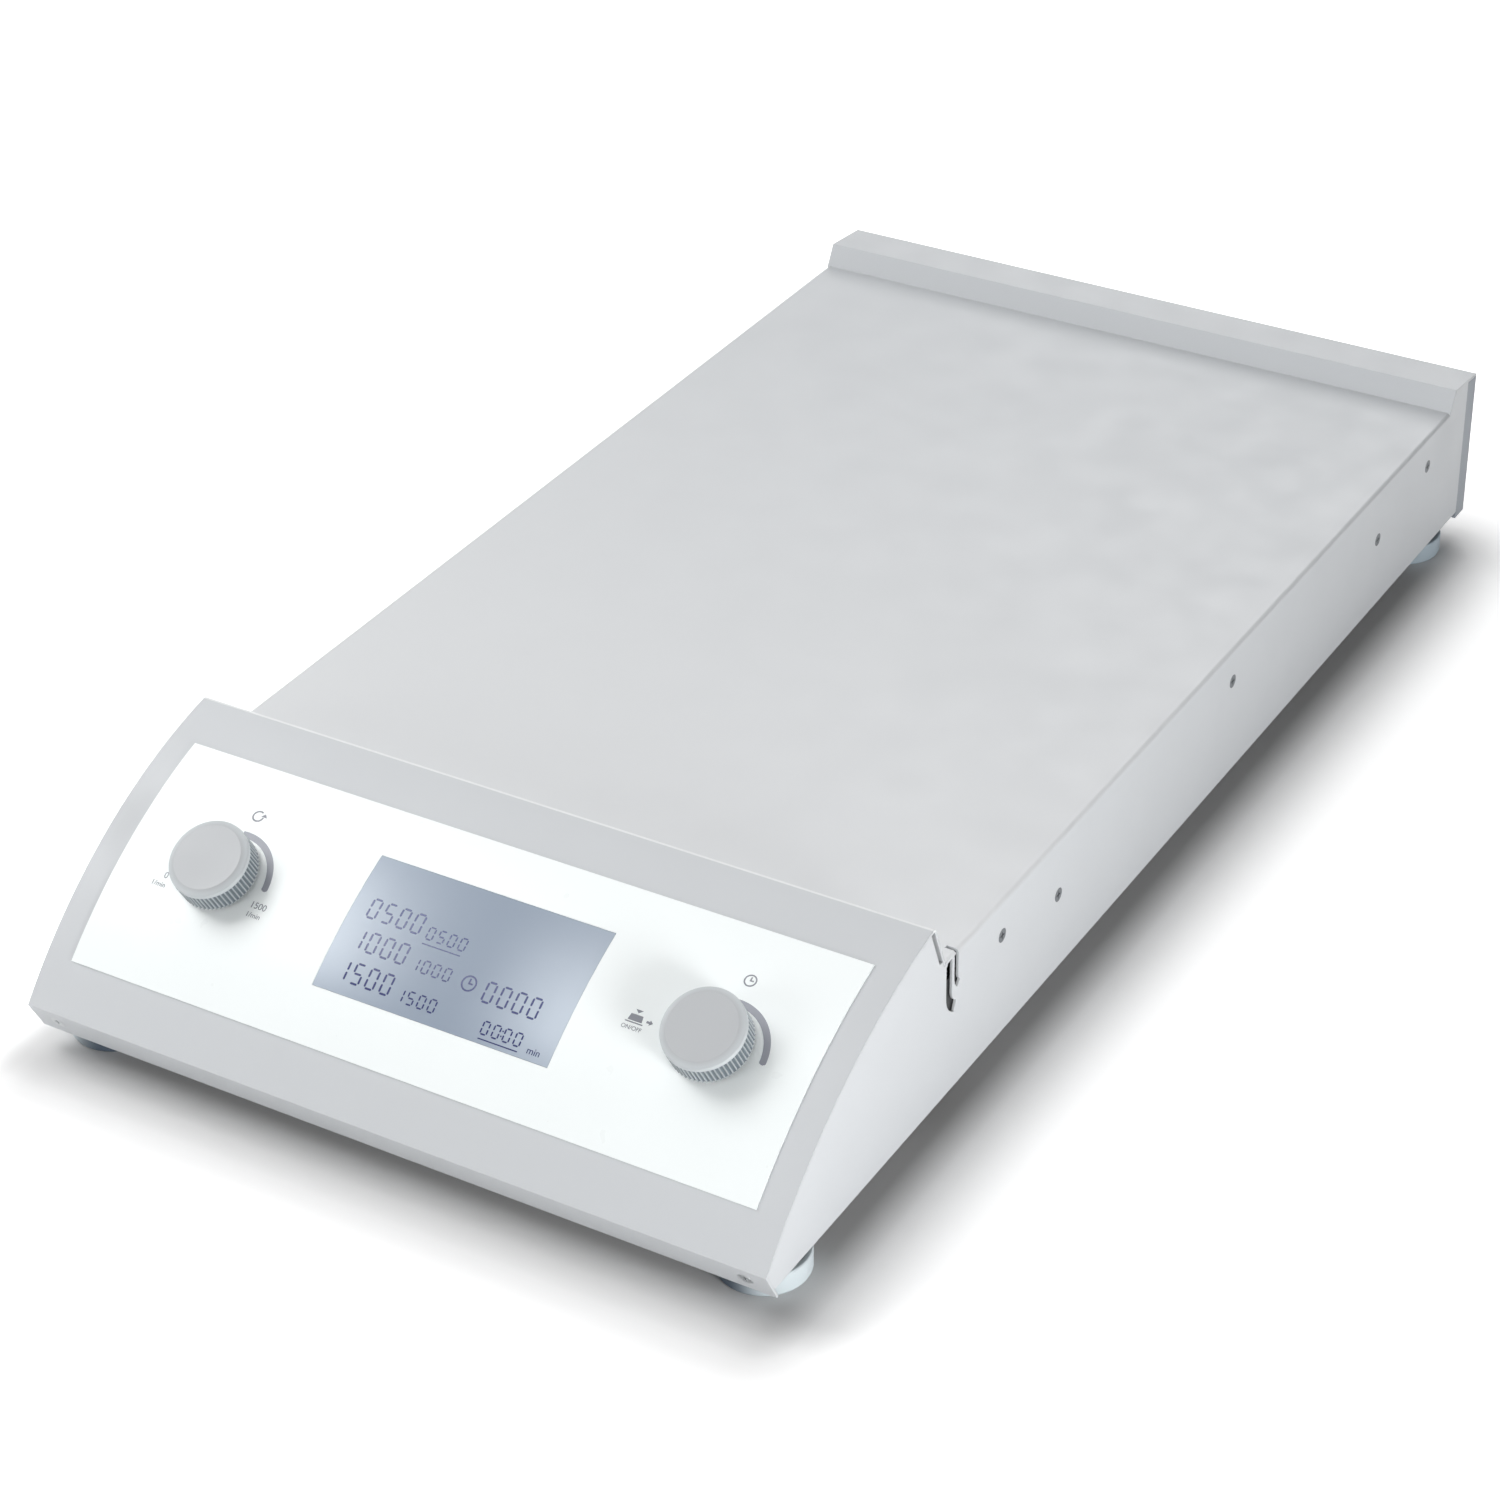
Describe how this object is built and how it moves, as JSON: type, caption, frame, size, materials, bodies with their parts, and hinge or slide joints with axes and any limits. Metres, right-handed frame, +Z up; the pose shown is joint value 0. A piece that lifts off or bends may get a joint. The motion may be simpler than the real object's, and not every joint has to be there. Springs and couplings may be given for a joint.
{
  "type": "multi-position magnetic stirrer",
  "caption": "Flat bench stirrer with three columns of magnetic stirring places under one deck, a curved front with a display and two knobs, and rubber feet.",
  "frame": {"origin": "middle of the footprint, on the bench surface that the feet stand on", "axes": "+X to the user's right, +Y from the control panel to the back, +Z up"},
  "size_m": [0.294, 0.59, 0.0855],
  "materials": {
    "housing_paint": "fine matt powder coat",
    "rear_paint": "fine matt powder coat",
    "bare_sheet": "plain mill finish",
    "front_film": "smooth film",
    "display_window": "clear film over a blue grey display",
    "knob_plastic": "satin moulded",
    "black_plastic": "moulded",
    "rotor_plastic": "moulded",
    "board": "green laminate",
    "steel": "turned",
    "screw_dark": "dark zinc",
    "screw_bright": "bright zinc",
    "contact_metal": "plated",
    "belt_rubber": "smooth",
    "foot_rubber": "soft grey"
  },
  "bodies": {
    "housing": {"deck_cover": "housing_paint", "front_hood": "housing_paint", "rear_panel": "rear_paint", "base_tray": "bare_sheet", "drive_plate": "bare_sheet", "front_film": "front_film", "display_window": "display_window", "display_module": "black_plastic", "control_board": "board", "board_standoffs": "steel", "encoder_bodies": "steel", "encoder_nuts": "steel", "spindles": "steel", "spindle_clips": "screw_dark", "drive_belts": "belt_rubber", "motor_cans": "steel", "motor_screws": "screw_dark", "mains_inlet": "black_plastic", "inlet_pins": "contact_metal", "switch_frame": "black_plastic", "fuse_holder": "black_plastic", "supply_board": "board", "supply_parts": "black_plastic", "supply_standoffs": "steel", "rubber_feet": "foot_rubber", "foot_screws": "screw_bright", "side_screws": "screw_dark", "chin_screws": "screw_bright", "rear_screws": "screw_bright"},
    "speed_encoder": {"speed_wiper": "contact_metal"},
    "speed_control": {"speed_shaft": "steel", "speed_knob": "knob_plastic"},
    "time_encoder": {"time_wiper": "contact_metal"},
    "time_control": {"time_shaft": "steel", "time_knob": "knob_plastic"},
    "power_rocker": {"switch_rocker": "black_plastic"},
    "left_place_1": {"rotor_left_1": "rotor_plastic"},
    "left_place_2": {"rotor_left_2": "rotor_plastic"},
    "left_place_3": {"rotor_left_3": "rotor_plastic", "motor_shaft_left": "steel"},
    "left_place_4": {"rotor_left_4": "rotor_plastic"},
    "left_place_5": {"rotor_left_5": "rotor_plastic"},
    "centre_place_1": {"rotor_centre_1": "rotor_plastic"},
    "centre_place_2": {"rotor_centre_2": "rotor_plastic"},
    "centre_place_3": {"rotor_centre_3": "rotor_plastic", "motor_shaft_centre": "steel"},
    "centre_place_4": {"rotor_centre_4": "rotor_plastic"},
    "centre_place_5": {"rotor_centre_5": "rotor_plastic"},
    "right_place_1": {"rotor_right_1": "rotor_plastic"},
    "right_place_2": {"rotor_right_2": "rotor_plastic"},
    "right_place_3": {"rotor_right_3": "rotor_plastic", "motor_shaft_right": "steel"},
    "right_place_4": {"rotor_right_4": "rotor_plastic"},
    "right_place_5": {"rotor_right_5": "rotor_plastic"}
  },
  "joints": [
    {"name": "speed_knob_turn", "type": "hinge", "parent": "housing", "child": "speed_encoder", "pos_m": [-0.0968, -0.24583, 0.06233], "axis": [0, -0.5134, 0.8581], "continuous": true},
    {"name": "speed_knob_push", "type": "slide", "parent": "speed_encoder", "child": "speed_control", "axis": [0, 0.5134, -0.8581], "range_m": [0, 0.0006], "stiffness_N_per_m": 1500},
    {"name": "time_knob_turn", "type": "hinge", "parent": "housing", "child": "time_encoder", "pos_m": [0.0992, -0.24583, 0.06233], "axis": [0, -0.5134, 0.8581], "continuous": true},
    {"name": "time_knob_push", "type": "slide", "parent": "time_encoder", "child": "time_control", "axis": [0, 0.5134, -0.8581], "range_m": [0, 0.0006], "stiffness_N_per_m": 1500},
    {"name": "power_switch", "type": "hinge", "parent": "housing", "child": "power_rocker", "pos_m": [0.066, 0.285, 0.04115], "axis": [1, 0, 0], "range_deg": [-20, 0]},
    {"name": "left_place_1_turn", "type": "hinge", "parent": "housing", "child": "left_place_1", "pos_m": [-0.0886, -0.1205, 0.055], "axis": [0, 0, 1], "continuous": true},
    {"name": "left_place_2_turn", "type": "hinge", "parent": "housing", "child": "left_place_2", "pos_m": [-0.0886, -0.0355, 0.055], "axis": [0, 0, 1], "continuous": true},
    {"name": "left_place_3_turn", "type": "hinge", "parent": "housing", "child": "left_place_3", "pos_m": [-0.0886, 0.0495, 0.055], "axis": [0, 0, 1], "continuous": true},
    {"name": "left_place_4_turn", "type": "hinge", "parent": "housing", "child": "left_place_4", "pos_m": [-0.0886, 0.1345, 0.055], "axis": [0, 0, 1], "continuous": true},
    {"name": "left_place_5_turn", "type": "hinge", "parent": "housing", "child": "left_place_5", "pos_m": [-0.0886, 0.2195, 0.055], "axis": [0, 0, 1], "continuous": true},
    {"name": "centre_place_1_turn", "type": "hinge", "parent": "housing", "child": "centre_place_1", "pos_m": [0, -0.1205, 0.055], "axis": [0, 0, 1], "continuous": true},
    {"name": "centre_place_2_turn", "type": "hinge", "parent": "housing", "child": "centre_place_2", "pos_m": [0, -0.0355, 0.055], "axis": [0, 0, 1], "continuous": true},
    {"name": "centre_place_3_turn", "type": "hinge", "parent": "housing", "child": "centre_place_3", "pos_m": [0, 0.0495, 0.055], "axis": [0, 0, 1], "continuous": true},
    {"name": "centre_place_4_turn", "type": "hinge", "parent": "housing", "child": "centre_place_4", "pos_m": [0, 0.1345, 0.055], "axis": [0, 0, 1], "continuous": true},
    {"name": "centre_place_5_turn", "type": "hinge", "parent": "housing", "child": "centre_place_5", "pos_m": [0, 0.2195, 0.055], "axis": [0, 0, 1], "continuous": true},
    {"name": "right_place_1_turn", "type": "hinge", "parent": "housing", "child": "right_place_1", "pos_m": [0.0886, -0.1205, 0.055], "axis": [0, 0, 1], "continuous": true},
    {"name": "right_place_2_turn", "type": "hinge", "parent": "housing", "child": "right_place_2", "pos_m": [0.0886, -0.0355, 0.055], "axis": [0, 0, 1], "continuous": true},
    {"name": "right_place_3_turn", "type": "hinge", "parent": "housing", "child": "right_place_3", "pos_m": [0.0886, 0.0495, 0.055], "axis": [0, 0, 1], "continuous": true},
    {"name": "right_place_4_turn", "type": "hinge", "parent": "housing", "child": "right_place_4", "pos_m": [0.0886, 0.1345, 0.055], "axis": [0, 0, 1], "continuous": true},
    {"name": "right_place_5_turn", "type": "hinge", "parent": "housing", "child": "right_place_5", "pos_m": [0.0886, 0.2195, 0.055], "axis": [0, 0, 1], "continuous": true}
  ],
  "couplings": [
    {"joint": "left_place_1_turn", "follows": "left_place_3_turn", "ratio": 1},
    {"joint": "left_place_2_turn", "follows": "left_place_3_turn", "ratio": 1},
    {"joint": "left_place_4_turn", "follows": "left_place_3_turn", "ratio": 1},
    {"joint": "left_place_5_turn", "follows": "left_place_3_turn", "ratio": 1},
    {"joint": "centre_place_1_turn", "follows": "centre_place_3_turn", "ratio": 1},
    {"joint": "centre_place_2_turn", "follows": "centre_place_3_turn", "ratio": 1},
    {"joint": "centre_place_4_turn", "follows": "centre_place_3_turn", "ratio": 1},
    {"joint": "centre_place_5_turn", "follows": "centre_place_3_turn", "ratio": 1},
    {"joint": "right_place_1_turn", "follows": "right_place_3_turn", "ratio": 1},
    {"joint": "right_place_2_turn", "follows": "right_place_3_turn", "ratio": 1},
    {"joint": "right_place_4_turn", "follows": "right_place_3_turn", "ratio": 1},
    {"joint": "right_place_5_turn", "follows": "right_place_3_turn", "ratio": 1}
  ]
}
